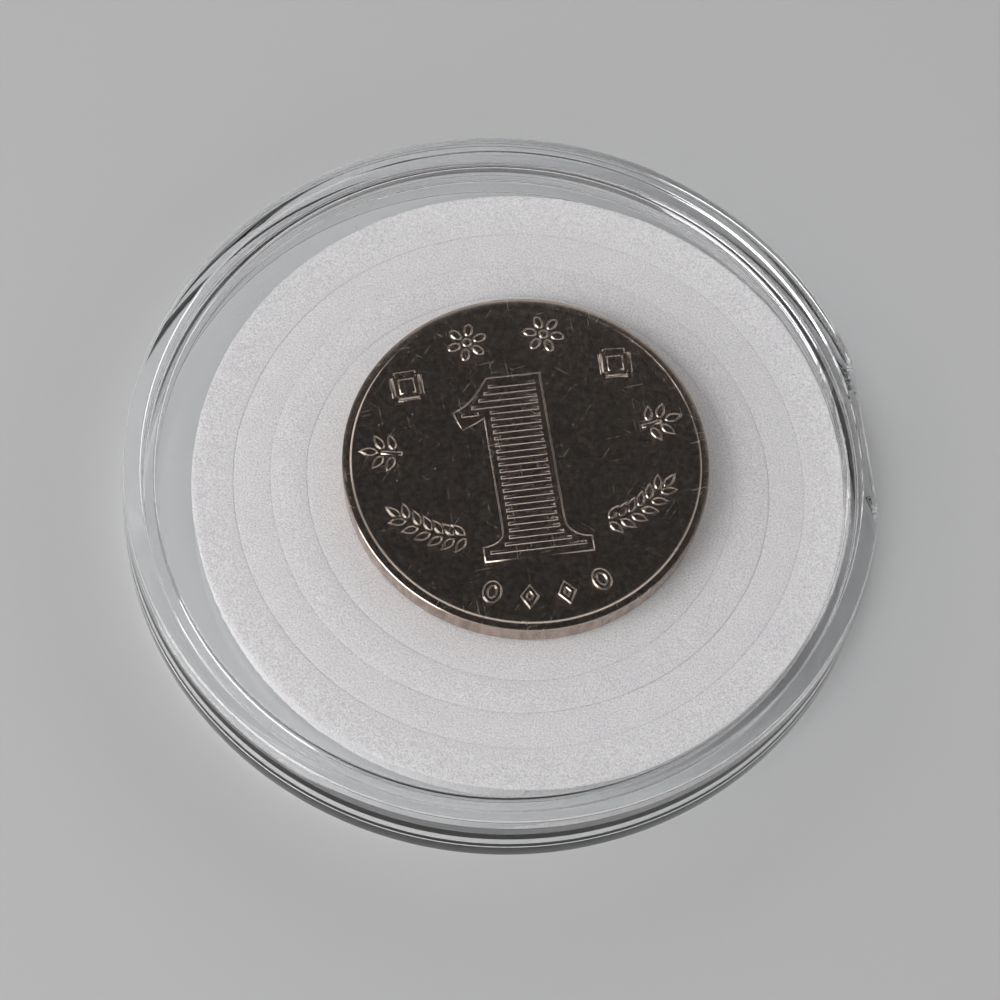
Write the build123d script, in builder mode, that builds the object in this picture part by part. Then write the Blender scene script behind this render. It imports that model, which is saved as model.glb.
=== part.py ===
"""Round coin capsule: two clear press-together shells, five nested foam gasket rings, one coin.

Frame: millimetres, +Z up, origin at the centre of the base shell's underside.
"""

import os
from math import sqrt

from build123d import *

os.makedirs("parts", exist_ok=True)

# ---- Shells ---------------------------------------------------------------------------
capsule_d = 51.4  # outer diameter of both shells
bore_d = 48.7  # inner diameter of the base wall
floor_t = 0.95  # thickness of the base floor
window_t = 0.80  # thickness of the lid's clear window
base_h = 3.90  # height of the base shell, floor included
band_h = 1.65  # height of the full-diameter band around the foot of the base
band_step = 0.06  # radial step above that band
rim_rise = 0.25  # stacking rim, raised above the lid's window
rim_w = 1.30  # width of that rim
parting_gap = 0.05  # gap between the shells' meeting faces
skirt_t = 0.70  # thickness of the lid's skirt
skirt_clearance = 0.06  # radial running clearance of the skirt in the bore
skirt_foam_gap = 0.15  # height left between the skirt and the foam
bead_h = 0.04  # radial height of the friction bead on the skirt
edge_round = 0.20  # round on the outer moulded edges
edge_break = 0.08  # chamfer on the meeting edges

# ---- Pry flat, where a thumbnail opens the capsule --------------------------------------
flat_w = 11.6  # chord length of the flat
flat_angle = 14.5  # direction of the flat, counter-clockwise from +X
notch_w = 8.0  # width of the thumbnail notch in each shell
notch_h = 0.30  # height of that notch
notch_depth = 0.45  # depth of that notch, inward from the flat

# ---- Foam gasket rings -------------------------------------------------------------------
foam_d = 45.2  # outside diameter of the nested set
foam_t = 2.00  # foam thickness
# hole diameter of each ring by the coin it fits, outermost ring first; each hole grips its coin
ring_holes = {40: 39.3, 35: 34.3, 30: 29.3, 25: 23.3, 20: 18.3}
cut_gap = 0.06  # radial gap left by the die cut between neighbouring rings
foam_centre = (1.33, 0.30)  # the set lies loose and off-centre on the floor

# ---- Coin --------------------------------------------------------------------------------
coin_d = 25.0
coin_t = 1.85
coin_centre = (1.50, 1.05)
coin_turn = 16.0  # rotation of the coin's design, counter-clockwise
coin_play = 0.11  # free height between the coin and the window
coin_rim_w = 0.55  # width of the raised rim
relief_h = 0.11  # height of the rim and of the design above the field

rest_gap = 0.02  # air gap between pieces that lie on each other

# ---- Derived sizes -----------------------------------------------------------------------
capsule_r = capsule_d / 2
neck_r = capsule_r - band_step
bore_r = bore_d / 2
flat_distance = sqrt(neck_r**2 - (flat_w / 2) ** 2)
foam_bottom = floor_t + rest_gap
foam_top = foam_bottom + foam_t
coin_bottom = foam_top + rest_gap
coin_top = coin_bottom + coin_t
window_bottom = coin_top + coin_play
window_top = window_bottom + window_t
lid_top = window_top + rim_rise
lid_bottom = base_h + parting_gap
skirt_bottom = foam_top + skirt_foam_gap
skirt_r = bore_r - skirt_clearance

pry_plane = Plane.XY.rotated((0, 0, flat_angle))


def flatted_disc(radius, height):
    """A disc at the given height, cut off by the pry flat."""
    with BuildSketch(pry_plane.offset(height)) as disc:
        Circle(radius)
        with Locations((flat_distance, 0)):
            Rectangle(radius, 2 * radius, align=(Align.MIN, Align.CENTER), mode=Mode.SUBTRACT)
    return disc.sketch


def thumbnail_notch(height):
    """The outline of the notch that lets a thumbnail in between the shells."""
    with BuildSketch(pry_plane.offset(height)) as notch:
        with Locations((flat_distance - notch_depth, 0)):
            Rectangle(2 * notch_depth, notch_w, align=(Align.MIN, Align.CENTER))
    return notch.sketch


# ---- Base shell: a shallow clear dish ------------------------------------------------------
with BuildPart() as base_shell:
    extrude(flatted_disc(capsule_r, 0), amount=band_h)
    extrude(flatted_disc(neck_r, band_h), amount=base_h - band_h)
    foot_edges = base_shell.faces().sort_by(Axis.Z)[0].edges()
    fillet(foot_edges, radius=edge_round)
    with BuildSketch(Plane.XY.offset(floor_t)):
        Circle(bore_r)
    extrude(amount=base_h - floor_t, mode=Mode.SUBTRACT)
    bore_mouth = base_shell.faces().sort_by(Axis.Z)[-1].inner_wires()[0].edges()
    chamfer(bore_mouth, length=edge_break)
    extrude(thumbnail_notch(base_h), amount=-notch_h, mode=Mode.SUBTRACT)

base_shell.part.label = "base_shell"
export_step(base_shell.part, "parts/base_shell.step")


# ---- Lid shell: a clear window with a stacking rim, and a skirt that enters the base --------
with BuildPart() as lid_shell:
    extrude(flatted_disc(neck_r, lid_bottom), amount=lid_top - lid_bottom)
    rim_edges = lid_shell.faces().sort_by(Axis.Z)[-1].edges()
    fillet(rim_edges, radius=edge_round)
    with BuildSketch(Plane.XY.offset(window_top)):
        Circle(capsule_r - rim_w)
    extrude(amount=rim_rise, mode=Mode.SUBTRACT)
    with BuildSketch(Plane.XY.offset(skirt_bottom)):
        Circle(skirt_r)
    extrude(amount=lid_bottom - skirt_bottom)
    with BuildSketch(Plane.XY.offset(skirt_bottom)):
        Circle(skirt_r - skirt_t)
    extrude(amount=window_bottom - skirt_bottom, mode=Mode.SUBTRACT)
    with BuildSketch(Plane.XZ):
        with Locations((skirt_r, (skirt_bottom + lid_bottom) / 2)):
            Ellipse(x_radius=bead_h, y_radius=3 * bead_h)
    revolve(axis=Axis.Z)
    extrude(thumbnail_notch(lid_bottom), amount=notch_h, mode=Mode.SUBTRACT)

lid_shell.part.label = "lid_shell"
export_step(lid_shell.part, "parts/lid_shell.step")


# ---- Gasket rings: one foam disc, die-cut into rings that lift out one by one ----------------
foam_plane = Plane(origin=(*foam_centre, foam_bottom))
ring_outer_d = foam_d
for held_coin, ring_inner_d in ring_holes.items():
    with BuildPart() as gasket_ring:
        with BuildSketch(foam_plane):
            Circle(ring_outer_d / 2)
            Circle(ring_inner_d / 2, mode=Mode.SUBTRACT)
        extrude(amount=foam_t)
    gasket_ring.part.label = f"gasket_ring_{held_coin}"
    export_step(gasket_ring.part, f"parts/gasket_ring_{held_coin}.step")
    ring_outer_d = ring_inner_d - 2 * cut_gap


# ---- Coin: raised rims on both faces, a hatched numeral on the obverse ------------------------
numeral_centre = (-0.20, -0.22)  # centre of the numeral in the coin's own frame
numeral_h = 13.65  # height of the numeral
stem_w = 4.25  # width of its stem
foot_w = 7.45  # width of its foot
foot_h = 1.10
foot_bracket = 1.35  # height of the sloping brackets between stem and foot
flag_root = 0.55  # start of the flag's slope, inward from the stem's left side
flag_reach = 2.10  # reach of the flag to the left of the stem
flag_drop = 2.35  # height of the flag's slope
flag_end = 1.40  # height of the flag's cut end
flag_undercut = 0.45  # inward lean of that end
outline_w = 0.45  # width of the border around the hatched panel
hatch_pitch = 0.49  # spacing of the hatch grooves
hatch_w = 0.25
hatch_depth = 0.06

coin_plane = Plane(origin=(*coin_centre, coin_bottom)).rotated((0, 0, coin_turn))
numeral_plane = Plane(coin_plane.location * Location((*numeral_centre, coin_t)))
numeral_top = numeral_h / 2
foot_top = foot_h - numeral_h / 2
stem_side = stem_w / 2
flag_tip = stem_side + flag_reach
panel_top = numeral_top - outline_w
panel_bottom = foot_top + foot_bracket / 2
hatch_count = int((panel_top - panel_bottom) / hatch_pitch)

with BuildPart() as coin:
    with BuildSketch(coin_plane):
        Circle(coin_d / 2)
    extrude(amount=coin_t)
    chamfer(coin.edges().filter_by(GeomType.CIRCLE), length=edge_break)
    with BuildSketch(coin_plane.offset(coin_t)):
        Circle(coin_d / 2 - coin_rim_w)
    extrude(amount=-relief_h, mode=Mode.SUBTRACT)
    with BuildSketch(coin_plane):
        Circle(coin_d / 2 - coin_rim_w)
    extrude(amount=relief_h, mode=Mode.SUBTRACT)
    with BuildSketch(numeral_plane.offset(-relief_h)):
        with BuildLine():
            Polyline(
                (-foot_w / 2, -numeral_top),
                (foot_w / 2, -numeral_top),
                (foot_w / 2, foot_top),
                (stem_side + foot_bracket / 2, foot_top + foot_bracket / 3),
                (stem_side, foot_top + foot_bracket),
                (stem_side, numeral_top),
                (flag_root - stem_side, numeral_top),
                (-flag_tip, numeral_top - flag_drop),
                (flag_undercut - flag_tip, numeral_top - flag_drop - flag_end),
                (-stem_side, numeral_top - flag_drop - flag_end / 2),
                (-stem_side, foot_top + foot_bracket),
                (-stem_side - foot_bracket / 2, foot_top + foot_bracket / 3),
                (-foot_w / 2, foot_top),
                close=True,
            )
        make_face()
    extrude(amount=relief_h)
    with BuildSketch(numeral_plane):
        with Locations((0, (panel_top + panel_bottom) / 2)):
            with GridLocations(hatch_pitch, hatch_pitch, 1, hatch_count):
                Rectangle(stem_w - 2 * outline_w, hatch_w)
    extrude(amount=-hatch_depth, mode=Mode.SUBTRACT)

coin.part.label = "coin"
export_step(coin.part, "parts/coin.step")
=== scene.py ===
"""Coin capsule: clear shells, foam gasket rings and a struck coin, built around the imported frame.

Every length is in metres, in the row frame: +Z up, origin under the middle of the base shell.
"""

import math

import bmesh
import bpy
from mathutils import Matrix, Vector, noise
from mathutils.geometry import delaunay_2d_cdt


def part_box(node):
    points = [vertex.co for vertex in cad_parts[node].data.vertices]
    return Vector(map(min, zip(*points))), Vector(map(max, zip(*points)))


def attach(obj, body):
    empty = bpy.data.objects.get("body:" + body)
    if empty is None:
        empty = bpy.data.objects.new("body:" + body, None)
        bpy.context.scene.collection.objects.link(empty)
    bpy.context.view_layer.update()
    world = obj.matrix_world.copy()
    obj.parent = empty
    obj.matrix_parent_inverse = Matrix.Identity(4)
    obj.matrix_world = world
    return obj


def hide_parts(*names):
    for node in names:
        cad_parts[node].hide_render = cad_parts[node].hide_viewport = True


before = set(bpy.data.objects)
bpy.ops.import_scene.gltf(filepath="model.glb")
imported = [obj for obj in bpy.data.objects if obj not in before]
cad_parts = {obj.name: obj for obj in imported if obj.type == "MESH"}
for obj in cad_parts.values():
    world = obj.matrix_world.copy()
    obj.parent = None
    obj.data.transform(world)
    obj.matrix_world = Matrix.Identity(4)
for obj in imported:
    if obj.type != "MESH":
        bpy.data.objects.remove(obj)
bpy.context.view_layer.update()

MM = 0.001
TAU = 2 * math.pi

# ---- Sizes taken from the CAD nodes -------------------------------------------------------------


def node_radii(name, centre, above=-1.0):
    """Smallest and largest distance from a vertical axis of a node's vertices above a height."""
    spots = [v.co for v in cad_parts[name].data.vertices if v.co.z > above]
    distances = [math.hypot(spot.x - centre.x, spot.y - centre.y) for spot in spots]
    return min(distances), max(distances)


RINGS = (40, 35, 30, 25, 20)  # the coin that each foam ring takes, in millimetres, outermost ring first

base_low, base_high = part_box("base_shell")
lid_low, lid_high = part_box("lid_shell")
coin_low, coin_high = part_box("coin")
coin_centre = (coin_low + coin_high) / 2
coin_r = (coin_high.x - coin_low.x) / 2
foam_low, foam_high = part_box(f"gasket_ring_{RINGS[0]}")
foam_centre = (foam_low + foam_high) / 2
capsule_r = -base_low.x
neck_r = -lid_low.x
bore_r = node_radii("base_shell", Vector((0, 0, 0)), above=foam_low.z - 0.05 * MM)[0]

PRY_ANGLE = math.radians(14.5)  # direction of the pry flat, counter-clockwise from +X
PRY_HALF_W = 5.8 * MM  # half the flat's chord
flat_distance = math.sqrt(neck_r**2 - PRY_HALF_W**2)


# ---- Shader helper ------------------------------------------------------------------------------


class Shader:
    """Short calls that add linked nodes to a new material or world."""

    def __init__(self, owner):
        owner.use_nodes = True
        self.owner = owner
        self.nodes = owner.node_tree.nodes
        self.links = owner.node_tree.links
        self.nodes.clear()

    def add(self, kind, inputs=None, **properties):
        """A node. inputs maps a socket's name or number to a value or to another node's output."""
        made = self.nodes.new(f"ShaderNode{kind}")
        for name, value in properties.items():
            setattr(made, name, value)
        for name, value in (inputs or {}).items():
            if isinstance(value, bpy.types.NodeSocket):
                self.links.new(value, made.inputs[name])
            else:
                made.inputs[name].default_value = value
        return made

    def math(self, operation, *values, clamp=False):
        """The result of a Math node."""
        made = self.add("Math", dict(enumerate(values)), operation=operation, use_clamp=clamp)
        return made.outputs["Value"]

    def split(self, vector):
        """The X, Y and Z of a vector."""
        return self.add("SeparateXYZ", {"Vector": vector}).outputs

    def stretched(self, position, scale, turn=0.0):
        """A position whose patterns come out stretched by a scale and turned about Z."""
        inputs = {"Vector": position, "Scale": scale, "Rotation": (0, 0, turn)}
        return self.add("Mapping", inputs, vector_type="TEXTURE").outputs["Vector"]

    def noise(self, position, scale, detail, roughness=0.5):
        """A noise pattern, from 0 to 1."""
        inputs = {"Vector": position, "Scale": scale, "Detail": detail, "Roughness": roughness}
        return self.add("TexNoise", inputs).outputs["Fac"]

    def ramp(self, value, *stops):
        """A colour ramp over a value, from (position, grey or colour) stops."""
        made = self.add("ValToRGB", {"Fac": value})
        elements = made.color_ramp.elements
        while len(elements) < len(stops):
            elements.new(0.5)
        for element, (position, tone) in zip(elements, stops):
            colour = tone if isinstance(tone, tuple) else (tone, tone, tone)
            element.position = position
            element.color = (*colour, 1)
        return made.outputs["Color"]

    def mix_colours(self, factor, first, second, blend="MIX"):
        """The second colour laid over the first by a factor."""
        inputs = {0: factor, 6: first, 7: second}
        return self.add("Mix", inputs, data_type="RGBA", blend_type=blend).outputs[2]

    def mix_shaders(self, factor, first, second):
        """The second shader laid over the first by a factor."""
        inputs = {0: factor, 1: first.outputs[0], 2: second.outputs[0]}
        return self.add("MixShader", inputs)

    def bump(self, height, strength, distance):
        """The surface direction that a height pattern gives."""
        inputs = {"Height": height, "Strength": strength, "Distance": distance}
        return self.add("Bump", inputs).outputs["Normal"]

    def finish(self, shader, output="OutputMaterial"):
        """Join a shader to a new output node, and return the material or world."""
        self.add(output, {"Surface": shader.outputs[0]})
        return self.owner


# ---- Mesh helpers -------------------------------------------------------------------------------


def finish_mesh(name, bm, surface, smooth_angle=35):
    """Turn a bmesh into an object with a material and smooth shading up to an angle."""
    bmesh.ops.recalc_face_normals(bm, faces=bm.faces)
    mesh = bpy.data.meshes.new(name)
    bm.to_mesh(mesh)
    bm.free()
    mesh.materials.append(surface)
    mesh.shade_smooth()
    mesh.set_sharp_from_angle(angle=math.radians(smooth_angle))
    made = bpy.data.objects.new(name, mesh)
    bpy.context.scene.collection.objects.link(made)
    return made


def rounded(corners, steps=4):
    """A closed outline from (r, z, corner radius) corners, each corner replaced by an arc."""
    points = []
    count = len(corners)
    for i, (r, z, radius) in enumerate(corners):
        corner = Vector((r, z))
        if radius <= 0:
            points.append(corner)
            continue
        back = (Vector(corners[i - 1][:2]) - corner).normalized()
        ahead = (Vector(corners[(i + 1) % count][:2]) - corner).normalized()
        half = back.angle(ahead) / 2
        reach = radius / math.tan(half)
        middle = corner + (back + ahead).normalized() * (radius / math.sin(half))
        start = corner + back * reach - middle
        end = corner + ahead * reach - middle
        for k in range(steps + 1):
            mixed = start.lerp(end, k / steps)
            points.append(middle + mixed.normalized() * radius)
    return points


def lathe(outline, angles, place):
    """A bmesh swept round the axis. Outline points at r = 0 become single poles.

    place(r, z, angle) returns the vertex of an outline point at an angle.
    """
    bm = bmesh.new()
    columns = []
    for point in outline:
        if point.x < 1e-7:
            pole = bm.verts.new(place(0, point.y, 0))
            columns.append([pole] * len(angles))
        else:
            columns.append([bm.verts.new(place(point.x, point.y, a)) for a in angles])
    for i in range(len(outline)):
        near, far = columns[i - 1], columns[i]
        for k in range(len(angles)):
            after = (k + 1) % len(angles)
            corners = [near[k], near[after], far[after], far[k]]
            unique = list(dict.fromkeys(corners))
            if len(unique) > 2:
                bm.faces.new(unique)
    return bm


# ---- Clear plastic ------------------------------------------------------------------------------


FROST_DEPTH = 0.3 * MM  # how far in from the pry flat the frosting starts
FROST_REACH = 1.9 * MM  # how far it spreads along the flat from each end


def clear_plastic():
    """Clear polystyrene: polished, with hairline scratches, dust and frosting where it is pried open."""
    shader = Shader(bpy.data.materials.new("clear_polystyrene"))
    geometry = shader.add("NewGeometry").outputs
    position = geometry["Position"]

    scratches = shader.noise(shader.stretched(position, (14, 1, 4), 0.6), 2600.0, 2.0)
    hair = shader.ramp(scratches, (0.68, 0.0), (0.76, 1.0))
    steepness = shader.math("ABSOLUTE", shader.split(geometry["True Normal"])["Z"])
    level = shader.math("GREATER_THAN", steepness, 0.95)
    rubbed = shader.math("MULTIPLY", hair, level)

    by_flat = shader.stretched(position, (1, 1, 1), PRY_ANGLE)
    axes = shader.split(by_flat)
    outward = shader.math("GREATER_THAN", axes["X"], flat_distance - FROST_DEPTH)
    from_middle = shader.math("ABSOLUTE", axes["Y"])
    from_end = shader.math("ABSOLUTE", shader.math("SUBTRACT", from_middle, PRY_HALF_W))
    near_end = shader.math("SUBTRACT", 1.0, shader.math("DIVIDE", from_end, FROST_REACH), clamp=True)
    streaks = shader.noise(shader.stretched(by_flat, (1, 0.6, 9)), 4200.0, 4.0)
    streaky = shader.ramp(streaks, (0.42, 0.0), (0.58, 1.0))
    frost = shader.math("MULTIPLY", shader.math("MULTIPLY", outward, near_end), streaky)

    glass = shader.add(
        "BsdfPrincipled",
        {
            "Base Color": (0.985, 0.988, 0.992, 1),
            "IOR": 1.585,
            "Transmission Weight": 1.0,
            "Roughness": shader.math("MULTIPLY_ADD", frost, 0.4, 0.012),
            "Normal": shader.bump(shader.math("MULTIPLY_ADD", frost, 6.0, rubbed), 0.4, 0.000002),
        },
    )
    dust = shader.add("TexVoronoi", {"Vector": position, "Scale": 420.0}).outputs["Distance"]
    specks = shader.math("MULTIPLY", shader.ramp(dust, (0.0, 1.0), (0.04, 0.0)), 0.3)
    haze = shader.math("MULTIPLY_ADD", frost, 0.25, specks, clamp=True)
    dusty = shader.mix_shaders(haze, glass, shader.add("BsdfDiffuse", {"Color": (0.85, 0.85, 0.85, 1)}))

    # Light reaches what is under the plastic directly, as its shadow is nearly clear
    through = shader.add("BsdfTransparent", {"Color": (0.95, 0.955, 0.96, 1)})
    is_shadow = shader.add("LightPath").outputs["Is Shadow Ray"]
    return shader.finish(shader.mix_shaders(is_shadow, dusty, through))


SHELL_SEGMENTS = 720
shell_angles = [TAU * k / SHELL_SEGMENTS for k in range(SHELL_SEGMENTS)]
FLAT_ZONE = 0.55 * MM  # outline points this close to the outer wall follow the pry flat
FLAT_TURN = 0.5  # radians either side of the flat's middle that hold all of the flat and the notch
PARTING_ZONE = 0.12 * MM  # outline points this close to the parting face follow the notch
WALL_LEAN = 0.06 * MM  # draft: how far a moulded wall leans over its height
NOTCH_HALF_W = 4.0 * MM  # thumbnail notch: half its width along the flat
NOTCH_DEPTH = 0.45 * MM  # how far in from the flat it reaches
NOTCH_H = 0.30 * MM  # how far it sinks into each shell's parting face
NOTCH_RUN_OUT = 0.55 * MM  # length over which it fades out at each end


def shell_point(outer_r, parting_z, notch_direction):
    """A place() for a shell: the outer wall is cut by the pry flat, and its parting face by the notch."""

    def place(r, z, angle):
        turn = (angle - PRY_ANGLE + math.pi) % TAU - math.pi
        if abs(turn) < FLAT_TURN:
            flat_r = flat_distance / math.cos(turn)
            if r > outer_r - FLAT_ZONE and flat_r < outer_r:
                r = min(r, flat_r - (outer_r - r))
            if r > flat_distance - NOTCH_DEPTH and abs(z - parting_z) < PARTING_ZONE:
                across = abs(flat_distance * math.tan(turn))
                share = min(max((NOTCH_HALF_W - across) / NOTCH_RUN_OUT, 0.0), 1.0)
                z += notch_direction * NOTCH_H * share
        return Vector((r * math.cos(angle), r * math.sin(angle), z))

    return place


def build_base(surface):
    """The base shell: floor, wall, foot band and rounded moulded edges."""
    floor_z = foam_low.z - 0.02 * MM
    band_z = 1.65 * MM
    top = base_high.z
    corners = [
        (0, 0, 0),
        (capsule_r - WALL_LEAN, 0, 0.20 * MM),
        (capsule_r, band_z, 0.03 * MM),
        (neck_r, band_z + 0.04 * MM, 0.02 * MM),
        (neck_r - WALL_LEAN, top, 0.10 * MM),
        (bore_r, top, 0.12 * MM),
        (bore_r - WALL_LEAN, floor_z, 0.20 * MM),
        (0, floor_z, 0),
    ]
    bm = lathe(rounded(corners), shell_angles, shell_point(capsule_r, top, -1))
    shell = finish_mesh("base_shell_clear", bm, surface)
    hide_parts("base_shell")
    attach(shell, "base")


def build_lid(surface):
    """The lid shell: window, stacking rim, wall and the skirt that enters the base."""
    skirt_r = bore_r - 0.06 * MM
    skirt_inner = skirt_r - 0.70 * MM
    window_top = lid_high.z - 0.25 * MM
    window_bottom = coin_high.z + 0.11 * MM
    rim_inner = capsule_r - 1.30 * MM
    parting = base_high.z + 0.05 * MM
    bead_z = (lid_low.z + parting) / 2
    corners = [
        (0, window_bottom, 0),
        (skirt_inner, window_bottom, 0.15 * MM),
        (skirt_inner, lid_low.z, 0.12 * MM),
        (skirt_r, lid_low.z, 0.12 * MM),
        (skirt_r, bead_z - 0.08 * MM, 0.03 * MM),
        (skirt_r + 0.04 * MM, bead_z, 0.05 * MM),
        (skirt_r, bead_z + 0.08 * MM, 0.03 * MM),
        (skirt_r, parting, 0.04 * MM),
        (neck_r, parting, 0.08 * MM),
        (neck_r - WALL_LEAN, lid_high.z, 0.20 * MM),
        (rim_inner + WALL_LEAN, lid_high.z, 0.08 * MM),
        (rim_inner, window_top, 0.06 * MM),
        (0, window_top, 0),
    ]
    bm = lathe(rounded(corners), shell_angles, shell_point(neck_r, parting, 1))
    shell = finish_mesh("lid_shell_clear", bm, surface)
    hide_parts("lid_shell")
    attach(shell, "lid")


# ---- Foam ---------------------------------------------------------------------------------------

CUT_CLOSE = 0.024 * MM  # each ring's cut faces swell this far into the gap of the die cut
RULE_JOINT = math.radians(178)  # direction of the joint in the cutting rules
GRAIN = 9000.0  # foam cells per metre, for noise lookups
RING_SINK = (0.0, 0.03, 0.01, 0.035, 0.02)  # how far each ring's top lies under its CAD height, in mm
INNER_DROP, INNER_FADE = 0.075 * MM, 0.90 * MM  # fall of a ring's top at its inner edge, and its spread
CUT_DROP, CUT_FADE = 0.055 * MM, 0.65 * MM  # the same at an outer edge that is a cut
SET_DROP, SET_FADE = 0.030 * MM, 0.20 * MM  # and at the outer edge of the whole set
SKIN_PIT, SKIN_LUMP = 0.016 * MM, 0.007 * MM  # depth of the pits and the lumps in the foam's skin
CRUMB_OUT = 0.03 * MM  # how far the outer wall's crumbs stand proud
CRUMB_BITE = 0.14 * MM  # depth of the bites between them
CRUMB_CELL, CRUMB_FADE = 0.16 * MM, 0.10 * MM  # depth of the open cells there, and their reach over the top
WANDER = 0.20 * MM  # how far a die-cut line strays
JOINT_STEP, JOINT_SPREAD = 0.17 * MM, 0.22  # its step out at the rule's joint, and its spread in radians


def white_foam():
    """Fine-celled white foam: matte and grainy, with tiny pits and cell walls; painted shade darkens the
    pits and a painted highlight brightens the cell walls.
    """
    shader = Shader(bpy.data.materials.new("white_foam"))
    position = shader.add("TexCoord").outputs["Object"]
    grain = shader.noise(position, GRAIN, 2.0, 0.6)
    cells = shader.add("TexVoronoi", {"Vector": position, "Scale": GRAIN * 0.8}).outputs["Distance"]
    clouds = shader.noise(position, 900.0, 4.0)

    # Grain colour: random tone, with painted shade in the pits and a painted highlight on the cell walls
    pit_shade, skin, cell_glint = (0.60, 0.585, 0.595), (0.80, 0.79, 0.79), (0.97, 0.96, 0.95)
    grain_shade_and_glint = shader.ramp(grain, (0.30, pit_shade), (0.50, skin), (0.72, cell_glint))
    tone = shader.ramp(clouds, (0.3, (0.96, 0.945, 0.955)), (0.7, (1.0, 0.985, 0.985)))
    foam = shader.add(
        "BsdfPrincipled",
        {
            "Base Color": shader.mix_colours(1.0, grain_shade_and_glint, tone, "MULTIPLY"),
            "Roughness": 0.85,
            "Specular IOR Level": 0.3,
            "Subsurface Weight": 0.2,
            "Subsurface Radius": (1.0, 1.0, 1.0),
            "Subsurface Scale": 0.3 * MM,
            "Normal": shader.bump(shader.math("ADD", grain, cells), 0.45, 0.04 * MM),
        },
    )
    return shader.finish(foam)


def cut_wave(cut, angle):
    """How far a die-cut line wanders outward at an angle. Both rings at the cut share it.

    The line also steps out where the two ends of the cutting rule meet.
    """
    if cut == 0:
        return 0.0
    spot = Vector((1.2 * math.cos(angle), 1.2 * math.sin(angle), 3.7 * cut))
    from_joint = abs((angle - RULE_JOINT + math.pi) % TAU - math.pi)
    return WANDER * noise.noise(spot) + JOINT_STEP * math.exp(-from_joint / JOINT_SPREAD)


def refined(corners, pitch_at):
    """A closed outline with points added so that no step is much longer than the pitch there."""
    outline = []
    for start, end in zip(corners, corners[1:] + corners[:1]):
        steps = max(1, round((end - start).length / pitch_at(start)))
        outline += [start.lerp(end, k / steps) for k in range(steps)]
    return outline


def build_ring(index, surface):
    """One gasket ring: a pillowed top between its cuts, an uneven skin and crumbly edges."""
    name = f"gasket_ring_{RINGS[index]}"
    inner_r, outer_r = node_radii(name, foam_centre)
    low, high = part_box(name)
    outside = index == 0
    inner_r -= CUT_CLOSE
    outer_r += 0 if outside else CUT_CLOSE
    top_z = high.z - RING_SINK[index] * MM
    corners = rounded(
        [
            (inner_r, low.z, 0.05 * MM),
            (outer_r, low.z, 0.05 * MM),
            (outer_r, top_z, 0.04 * MM if outside else 0.02 * MM),
            (inner_r, top_z, 0.02 * MM),
        ]
    )
    outline = refined(corners, lambda spot: 0.16 * MM if spot.y > low.z + 0.5 * MM else 0.4 * MM)
    count = round(TAU * outer_r / (0.17 * MM))
    angles = [TAU * k / count for k in range(count)]

    def place(r, z, angle):
        from_inner, from_outer = r - inner_r, outer_r - r
        across = from_inner / (outer_r - inner_r)
        spot = Vector((r * math.cos(angle), r * math.sin(angle), z))
        cell = abs(noise.noise(spot * GRAIN * 0.55))
        lump = noise.noise(spot * 700)
        r += cut_wave(index + 1, angle) * (1 - across) + cut_wave(index, angle) * across
        if outside and from_outer < 0.02 * MM:  # the outer wall
            r += CRUMB_OUT - CRUMB_BITE * abs(noise.noise(spot * 2600)) - CRUMB_CELL * cell
        if z > top_z - 0.2 * MM:  # the top face
            drop, fade = (SET_DROP, SET_FADE) if outside else (CUT_DROP, CUT_FADE)
            z -= INNER_DROP * math.exp(-from_inner / INNER_FADE)
            z -= drop * math.exp(-from_outer / fade)
            if outside:
                z -= CRUMB_CELL * cell * math.exp(-from_outer / CRUMB_FADE)
            z -= SKIN_PIT * cell + SKIN_LUMP * (1 + lump)
        return Vector((foam_centre.x + r * math.cos(angle), foam_centre.y + r * math.sin(angle), z))

    ring = finish_mesh(f"{name}_foam", lathe(outline, angles, place), surface, smooth_angle=60)
    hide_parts(name)
    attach(ring, f"ring_{RINGS[index]}")


# ---- Coin ---------------------------------------------------------------------------------------

COIN_TURN = math.radians(16.0)  # turn of the coin's design, counter-clockwise
RELIEF = 0.11 * MM  # height of the design above the field
SLOPE = 0.11 * MM  # width of the design's rounded edges
COIN_RIM = 0.52 * MM  # width of the raised rim
COVE = 0.30 * MM  # width of the hollow curve from the rim down to the field
EDGE_BREAK = 0.09 * MM  # slope on the coin's outer edges
RIM_CROWN = 0.03 * MM  # fall of the rim's top from its middle to the outer edge
COIN_SEGMENTS = 288


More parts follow.
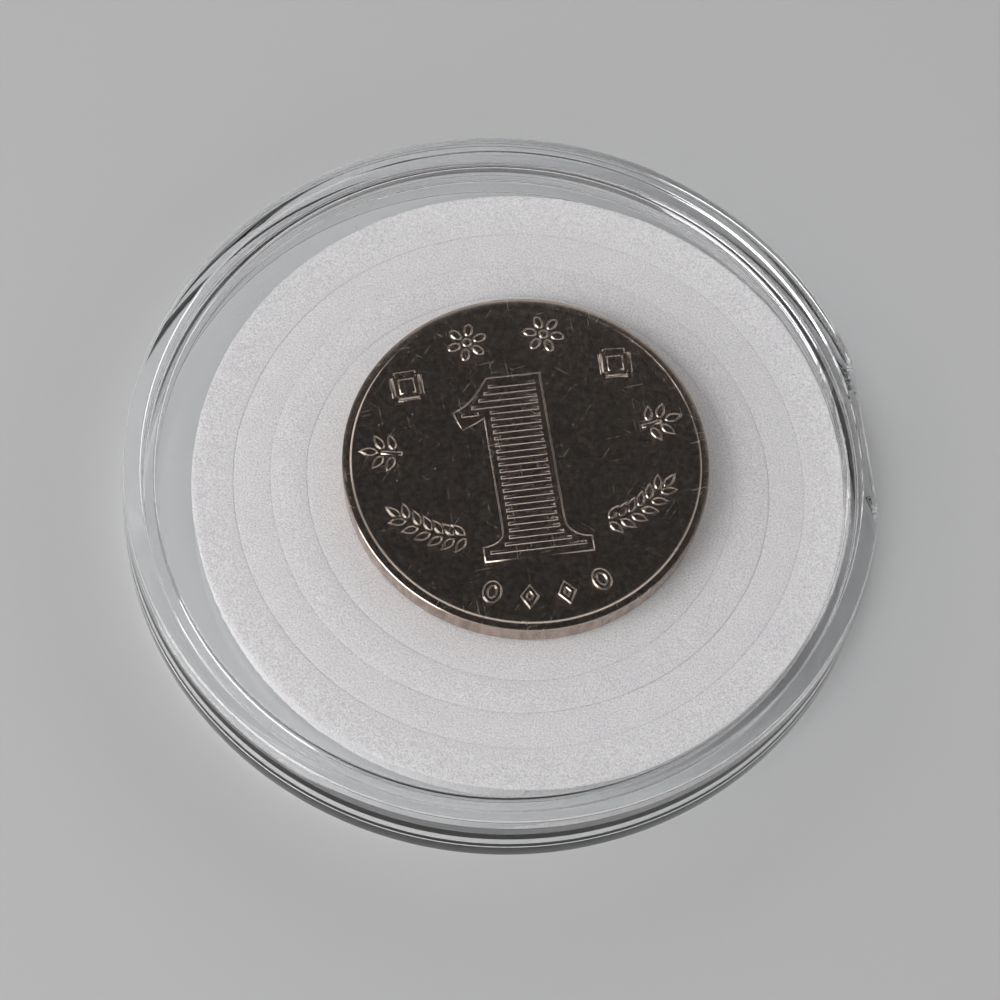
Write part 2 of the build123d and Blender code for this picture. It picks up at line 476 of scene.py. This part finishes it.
def nickel():
    """Nickel plate: a dark mirror field with scratches and mottling, and a side painted darker and warmer
    as painted shade, with streaks.
    """
    shader = Shader(bpy.data.materials.new("nickel_plate"))
    position = shader.add("TexCoord").outputs["Object"]

    total = 0.0
    for turn, scale in ((0.4, 2100.0), (1.15, 1700.0), (1.9, 2400.0), (2.7, 1900.0)):
        marks = shader.noise(shader.stretched(position, (5.0, 0.36, 1.0), turn), scale, 1.0)
        total = shader.math("ADD", total, shader.ramp(marks, (0.67, 0.0), (0.79, 1.0)), clamp=True)
    haze = shader.noise(position, 420.0, 5.0, 0.6)
    patches = shader.ramp(haze, (0.45, 0.06), (0.68, 0.36))
    worn = shader.math("MULTIPLY", total, patches)
    mottle = shader.ramp(shader.noise(position, 2600.0, 2.0), (0.35, 0.12), (0.7, 0.20))

    tarnish = shader.ramp(haze, (0.3, (0.55, 0.455, 0.39)), (0.65, (0.60, 0.51, 0.44)))
    # The steep side faces get their own darker, warmer colour: painted shade, with streaks running along
    # the side
    side_streaks = shader.noise(shader.stretched(position, (1.0, 1.0, 5.0)), 1500.0, 3.0)
    side_shade_tone = shader.ramp(side_streaks, (0.36, (0.37, 0.285, 0.23)), (0.62, (0.57, 0.455, 0.385)))
    steepness = shader.math("ABSOLUTE", shader.split(shader.add("NewGeometry").outputs["True Normal"])["Z"])
    side_shade_mask = shader.math("LESS_THAN", steepness, 0.3)
    metal = shader.add(
        "BsdfPrincipled",
        {
            "Metallic": 1.0,
            "Base Color": shader.mix_colours(side_shade_mask, tarnish, side_shade_tone),
            "Roughness": shader.math("ADD", worn, mottle, clamp=True),
            "Normal": shader.bump(worn, 0.5, 0.005 * MM),
        },
    )
    return shader.finish(metal)


def shifted(loop, amount):
    """A closed counter-clockwise 2-D loop with every edge moved outward by an amount."""
    moved = []
    count = len(loop)
    for i, point in enumerate(loop):
        before = (point - loop[i - 1]).normalized()
        after = (loop[(i + 1) % count] - point).normalized()
        normal_before = Vector((before.y, -before.x))
        normal_after = Vector((after.y, -after.x))
        middle = (normal_before + normal_after).normalized()
        moved.append(point + middle * amount / max(middle.dot(normal_after), 0.5))
    return moved


def placed(loops, x, y, turn=0.0, mirror=1, size=1.0):
    """Loops in millimetres, mirrored left to right if asked, scaled, turned and then moved."""
    c, s = size * math.cos(turn), size * math.sin(turn)
    moved = []
    for loop in loops:
        spots = [Vector((x + mirror * p.x * c - p.y * s, y + mirror * p.x * s + p.y * c)) for p in loop]
        moved.append(spots if mirror > 0 else spots[::-1])
    return moved


def oval(half_w, half_h, x=0.0, y=0.0, turn=0.0, count=16):
    """An ellipse as a counter-clockwise loop."""
    angles = [TAU * k / count for k in range(count)]
    spots = [Vector((half_w * math.cos(a), half_h * math.sin(a))) for a in angles]
    return placed([spots], x, y, turn)[0]


def rectangle(left, low, right, high):
    """An upright rectangle as a counter-clockwise loop."""
    return [Vector((left, low)), Vector((right, low)), Vector((right, high)), Vector((left, high))]


def leaf(length, half_w, x=0.0, y=0.0, turn=0.0):
    """A pointed leaf that grows along +X from its base at (x, y)."""
    shape = []
    steps = 7
    for k in range(1, steps + 1):
        shape.append(Vector((length * k / steps, -half_w * math.sin(math.pi * (k / steps) ** 0.8))))
    for k in range(steps - 1, 0, -1):
        shape.append(Vector((length * k / steps, half_w * math.sin(math.pi * (k / steps) ** 0.8))))
    shape.append(Vector((0, 0)))
    return placed([shape], x, y, turn)[0]


# The numeral, in millimetres from the coin's centre
STEM_LEFT, STEM_RIGHT, STEM_LOW = -2.33, 1.93, -4.35
FOOT_LEFT, FOOT_RIGHT, FOOT_LOW, FOOT_TOP = -3.85, 3.60, -7.05, -5.95
BRACKET_LEFT_H, BRACKET_RIGHT_H = 1.0, 1.45
NUMERAL_TOP = 6.60
FLAG_START = Vector((-1.76, NUMERAL_TOP))
FLAG_TIP = Vector((-4.43, 4.24))
FLAG_SAG = 0.42  # how far the flag's upper edge hangs below a straight line
FLAG_UNDERSIDE = ((-3.96, 2.86), (-2.95, 3.30), (STEM_LEFT, 3.62))

HATCH_BORDER = 0.46  # plain border round the numeral's hatching
HATCH_PITCH = 0.493
HATCH_BAR_H = 0.21
HATCH_TOP = 5.92  # height of the topmost bar
HATCH_COUNT = 26


def bracket(foot_x, stem_x, rise):
    """The curve from a top corner of the foot in to the stem."""
    angles = [math.radians(90 * k / 7) for k in range(1, 7)]
    spots = []
    for a in angles:
        x = foot_x + (stem_x - foot_x) * math.sin(a)
        spots.append(Vector((x, FOOT_TOP + rise * (1 - math.cos(a)))))
    return spots


def numeral():
    """The numeral one: sloping flag, wide stem and bracketed foot."""
    spots = [Vector((FOOT_LEFT, FOOT_LOW)), Vector((FOOT_RIGHT, FOOT_LOW)), Vector((FOOT_RIGHT, FOOT_TOP))]
    spots += bracket(FOOT_RIGHT, STEM_RIGHT, BRACKET_RIGHT_H)
    spots += [Vector((STEM_RIGHT, STEM_LOW)), Vector((STEM_RIGHT, NUMERAL_TOP)), FLAG_START]
    for k in range(1, 6):
        t = k / 6
        spots.append(FLAG_START.lerp(FLAG_TIP, t) - Vector((0, FLAG_SAG * math.sin(math.pi * t))))
    spots.append(FLAG_TIP)
    spots += [Vector(spot) for spot in FLAG_UNDERSIDE]
    spots.append(Vector((STEM_LEFT, STEM_LOW)))
    spots += reversed(bracket(FOOT_LEFT, STEM_LEFT, BRACKET_LEFT_H))
    spots.append(Vector((FOOT_LEFT, FOOT_TOP)))
    return spots


def crossings(loop, y):
    """Where a horizontal line crosses a loop, from left to right."""
    found = []
    for p, q in zip(loop, loop[1:] + loop[:1]):
        if (p.y > y) != (q.y > y):
            found.append(p.x + (q.x - p.x) * (y - p.y) / (q.y - p.y))
    return sorted(found)


def hatch_bars(outline):
    """Fine horizontal bars that fill the numeral inside its border."""
    inner = shifted(outline, -HATCH_BORDER)
    bars = []
    for k in range(HATCH_COUNT):
        y = HATCH_TOP - HATCH_PITCH * k
        marks = crossings(inner, y)
        if len(marks) == 4:  # the flag and the stem are cut apart at this height
            marks[2] = max(marks[2], STEM_LEFT + HATCH_BORDER)
        for left, right in zip(marks[0::2], marks[1::2]):
            if right - left > 2 * HATCH_BAR_H:
                bars.append(rectangle(left, y - HATCH_BAR_H / 2, right, y + HATCH_BAR_H / 2))
    return bars


def rosette():
    """Six petals round a bead."""
    loops = [oval(0.24, 0.24)]
    for k in range(6):
        a = TAU * k / 6
        loops.append(oval(0.36, 0.22, 0.78 * math.cos(a), 0.78 * math.sin(a), a, 12))
    return loops


def lozenge():
    """A diamond in a square frame of four bars."""
    loops = [[Vector((0.62, 0)), Vector((0, 0.62)), Vector((-0.62, 0)), Vector((0, -0.62))]]
    for k in range(4):
        a = TAU * (k + 0.5) / 4
        side = rectangle(-0.60, -0.15, 0.60, 0.15)
        loops += placed([side], 0.74 * math.cos(a), 0.74 * math.sin(a), a + math.pi / 2)
    return loops


def sprig():
    """A short stalk with five leaves."""
    loops = [leaf(1.0, 0.22, 0, 0.22, math.pi / 2)]
    for side in (-1, 1):
        for y, lean in ((-0.10, 35), (-0.70, 20)):
            loops.append(leaf(0.95, 0.21, side * 0.22, y, math.radians(90 - side * (90 - lean))))
    loops.append([Vector((-0.11, -1.15)), Vector((0.11, -1.15)), Vector((0.09, 0.0)), Vector((-0.09, 0.0))])
    return loops


def branch():
    """A branch of paired leaves, curving up to the right."""
    loops = []
    for k in range(6):
        t = k / 5
        x = -1.9 + 3.4 * t
        y = -1.1 + 1.5 * t * t
        lean = math.degrees(math.atan2(3.0 * t, 3.4))
        for side in (-1, 1):
            spread = 48 - 8 * t
            a = math.radians(lean + side * spread)
            loops.append(leaf(1.05, 0.23, x + 0.17 * math.cos(a), y + 0.17 * math.sin(a), a))
    loops.append(leaf(1.1, 0.22, 1.95, 0.72, math.radians(44)))
    return loops


def bead_ring():
    """A small oval ring, as a raised loop with a sunken middle."""
    return [oval(0.62, 0.80, count=20), oval(0.30, 0.46, count=16)]


def diamond():
    """A small diamond, as a raised loop with a sunken middle."""
    outer = [Vector((0.62, 0)), Vector((0, 0.85)), Vector((-0.62, 0)), Vector((0, -0.85))]
    return [outer, shifted(outer, -0.30)]


ARC_R, ARC_PITCH, ARC_SIZE = 9.85, math.radians(31.5), 1.22  # the arc of ornaments over the numeral
LOW_R, LOW_PITCH = 9.95, math.radians(14.7)  # the row of ornaments under it
BRANCH_X, BRANCH_Y, BRANCH_SIZE = 6.9, -3.8, 1.1


def obverse_design():
    """Raised and sunken loops, in millimetres, as (loop, height outside, height inside)."""
    one = numeral()
    design = [(one, 0.0, 1.0)]
    design += [(bar, 1.0, 0.25) for bar in hatch_bars(one)]
    ornaments = ((sprig, 1), (lozenge, 1), (rosette, 1), (rosette, -1), (lozenge, -1), (sprig, -1))
    for k, (motif, mirror) in enumerate(ornaments):
        a = math.pi / 2 + ARC_PITCH * (2.5 - k)
        loops = placed(motif(), ARC_R * math.cos(a), ARC_R * math.sin(a), a - math.pi / 2, mirror, ARC_SIZE)
        design += [(loop, 0.0, 1.0) for loop in loops]
    for k, motif in enumerate((bead_ring, diamond, diamond, bead_ring)):
        a = -math.pi / 2 + LOW_PITCH * (k - 1.5)
        outer, inner = placed(motif(), LOW_R * math.cos(a), LOW_R * math.sin(a), a + math.pi / 2)
        design += [(outer, 0.0, 1.0), (inner, 1.0, 0.0)]
    for side in (-1, 1):
        loops = placed(branch(), side * BRANCH_X, BRANCH_Y, 0.0, side, BRANCH_SIZE)
        design += [(loop, 0.0, 1.0) for loop in loops]
    return design


def reverse_design():
    """A large rosette in a wreath of leaves and beads."""
    design = []
    for k in range(12):
        a = TAU * k / 12
        design.append((leaf(3.6, 0.62, 1.6 * math.cos(a), 1.6 * math.sin(a), a), 0.0, 1.0))
    design.append((oval(1.0, 1.0, count=28), 0.0, 1.0))
    for k in range(24):
        a = TAU * k / 24
        design.append((leaf(1.7, 0.42, 7.4 * math.cos(a), 7.4 * math.sin(a), a + 1.15), 0.0, 1.0))
        design.append((oval(0.22, 0.22, 10.6 * math.cos(a), 10.6 * math.sin(a), count=12), 0.0, 1.0))
    return design


# Cross-section of every edge of the design: (offset outward in slope widths, share of the rise)
EDGE_STEPS = ((0.85, 0.0), (0.5, 0.0), (0.17, 0.28), (-0.17, 0.72), (-0.5, 1.0), (-0.85, 1.0))


def struck_face(bm, radius, design, z_at):
    """Triangulate one coin face with its design, and return the vertices of its outer circle.

    Every edge of the design is a band of loops, from flat outside, up or down a slope, to flat inside.
    """
    points, edges, heights = [], [], []

    def add_loop(loop, height):
        first = len(points)
        points.extend(loop)
        heights.extend([height] * len(loop))
        edges.extend((first + k, first + (k + 1) % len(loop)) for k in range(len(loop)))

    add_loop(oval(radius, radius, count=COIN_SEGMENTS), 0.0)
    for loop, outside, inside in design:
        scaled = [p * MM for p in loop]
        for out, share in EDGE_STEPS:
            add_loop(shifted(scaled, out * SLOPE), (outside + (inside - outside) * share) * RELIEF)
    made, _, faces, origins, _, _ = delaunay_2d_cdt(points, edges, [], 0, 1e-8)
    c, s = math.cos(COIN_TURN), math.sin(COIN_TURN)
    verts = []
    for spot, origin in zip(made, origins):
        z = z_at(heights[origin[0]] if origin else 0.0)
        x = coin_centre.x + spot.x * c - spot.y * s
        y = coin_centre.y + spot.x * s + spot.y * c
        verts.append(bm.verts.new((x, y, z)))
    for face in faces:
        bm.faces.new([verts[i] for i in face])
    by_origin = {origin[0]: vert for vert, origin in zip(verts, origins) if origin}
    return [by_origin[k] for k in range(COIN_SEGMENTS)]


def build_coin(surface):
    """The coin: two struck faces joined by raised rims, rounded edges and a plain side."""
    bm = bmesh.new()
    rim_r = coin_r - COIN_RIM
    field_r = rim_r - COVE
    rim_middle = rim_r + 0.2 * MM
    top_field = coin_high.z - RELIEF
    low_field = coin_low.z + RELIEF
    top_ring = struck_face(bm, field_r, obverse_design(), lambda h: top_field + h)
    low_ring = struck_face(bm, field_r, reverse_design(), lambda h: low_field - h)
    cove = [(k / 7, (k / 7) ** 2) for k in range(1, 7)]  # (share of the width, share of the rise)
    corners = [(field_r + COVE * t, low_field - RELIEF * rise, 0.0) for t, rise in cove]
    corners += [
        (rim_r, coin_low.z, 0.03 * MM),
        (rim_middle, coin_low.z, 0.0),
        (coin_r - EDGE_BREAK, coin_low.z + RIM_CROWN, 0.02 * MM),
        (coin_r, coin_low.z + EDGE_BREAK, 0.02 * MM),
        (coin_r, coin_high.z - EDGE_BREAK, 0.02 * MM),
        (coin_r - EDGE_BREAK, coin_high.z - RIM_CROWN, 0.02 * MM),
        (rim_middle, coin_high.z, 0.0),
        (rim_r, coin_high.z, 0.03 * MM),
    ]
    corners += [(field_r + COVE * t, top_field + RELIEF * rise, 0.0) for t, rise in reversed(cove)]
    angles = [TAU * k / COIN_SEGMENTS + COIN_TURN for k in range(COIN_SEGMENTS)]
    columns = [low_ring]
    for r, z in rounded(corners):
        spots = [(coin_centre.x + r * math.cos(a), coin_centre.y + r * math.sin(a), z) for a in angles]
        columns.append([bm.verts.new(spot) for spot in spots])
    columns.append(top_ring)
    for near, far in zip(columns, columns[1:]):
        for k in range(COIN_SEGMENTS):
            after = (k + 1) % COIN_SEGMENTS
            bm.faces.new([near[k], near[after], far[after], far[k]])
    coin = finish_mesh("coin_struck", bm, surface, smooth_angle=60)
    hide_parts("coin")
    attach(coin, "coin")


# ---- Build the pieces ---------------------------------------------------------------------------

plastic = clear_plastic()
foam_white = white_foam()
build_base(plastic)
build_lid(plastic)
for ring_index in range(len(RINGS)):
    build_ring(ring_index, foam_white)
build_coin(nickel())


# ---- Stage: floor, light and camera -------------------------------------------------------------


def build_floor():
    """A pale matte table top under the capsule."""
    shader = Shader(bpy.data.materials.new("pale_table"))
    matte = shader.add("BsdfPrincipled", {"Base Color": (0.68, 0.68, 0.68, 1), "Roughness": 0.85})
    bm = bmesh.new()
    half = 3.0  # half the table's width
    for x, y in ((-half, -half), (half, -half), (half, half), (-half, half)):
        bm.verts.new((x, y, -0.02 * MM))
    bm.faces.new(bm.verts)
    finish_mesh("floor", bm, shader.finish(matte))


def add_light(name, location, target, size, watts):
    """A soft rectangular area light that faces a point."""
    lamp = bpy.data.lights.new(name, "AREA")
    lamp.shape = "RECTANGLE"
    lamp.size, lamp.size_y = size
    lamp.energy = watts
    made = bpy.data.objects.new(name, lamp)
    made.location = location
    made.rotation_mode = "QUATERNION"
    made.rotation_quaternion = (Vector(target) - Vector(location)).to_track_quat("-Z", "Y")
    bpy.context.scene.collection.objects.link(made)


def build_world():
    """A soft ring of light round the horizon under a dark ceiling, so that flat faces stay dark."""
    shader = Shader(bpy.data.worlds.new("studio"))
    height = shader.split(shader.add("TexCoord").outputs["Generated"])["Z"]
    ring = shader.ramp(height, (0.10, 0.30), (0.30, 0.75), (0.60, 0.75), (0.74, 0.045), (1.0, 0.03))
    background = shader.add("Background", {"Color": ring, "Strength": 0.85})
    bpy.context.scene.world = shader.finish(background, "OutputWorld")


def build_lights():
    """One soft key from the left and front, and two weaker soft fills."""
    middle = (0, 0, foam_high.z)
    add_light("key", (-0.44, -0.28, 0.34), middle, (0.50, 0.42), 2.35)
    add_light("fill", (0.50, 0.20, 0.30), middle, (0.45, 0.35), 0.35)
    add_light("back", (-0.05, 0.62, 0.26), middle, (0.70, 0.22), 0.4)


def build_camera():
    """The viewing angle: from above and in front, slightly rolled, with a long lens."""
    distance = 0.300
    tilt = math.radians(25.3)  # angle between the line of sight and the vertical
    roll = math.radians(8.0)
    target = Vector((foam_centre.x, foam_centre.y, foam_high.z))
    back = Vector((0, -math.sin(tilt), math.cos(tilt)))
    right = Vector((1, 0, 0))
    up = back.cross(right)
    rolled_right = right * math.cos(roll) + up * math.sin(roll)
    rolled_up = up * math.cos(roll) - right * math.sin(roll)
    lens = bpy.data.cameras.new("camera")
    lens.sensor_width = 36.0  # millimetres, as is the focal length
    lens.lens = 158.472
    lens.shift_x = -0.0205  # the picture's window sits a little left of the foam's middle
    lens.shift_y = -0.0152  # and a little below it
    lens.clip_start = 0.01
    lens.clip_end = 10
    made = bpy.data.objects.new("camera", lens)
    made.matrix_world = Matrix.Translation(target + back * distance) @ Matrix(
        (
            (rolled_right.x, rolled_up.x, back.x, 0),
            (rolled_right.y, rolled_up.y, back.y, 0),
            (rolled_right.z, rolled_up.z, back.z, 0),
            (0, 0, 0, 1),
        )
    )
    bpy.context.scene.collection.objects.link(made)
    bpy.context.scene.camera = made


build_floor()
build_world()
build_lights()
build_camera()
bpy.context.scene.view_settings.view_transform = "Standard"
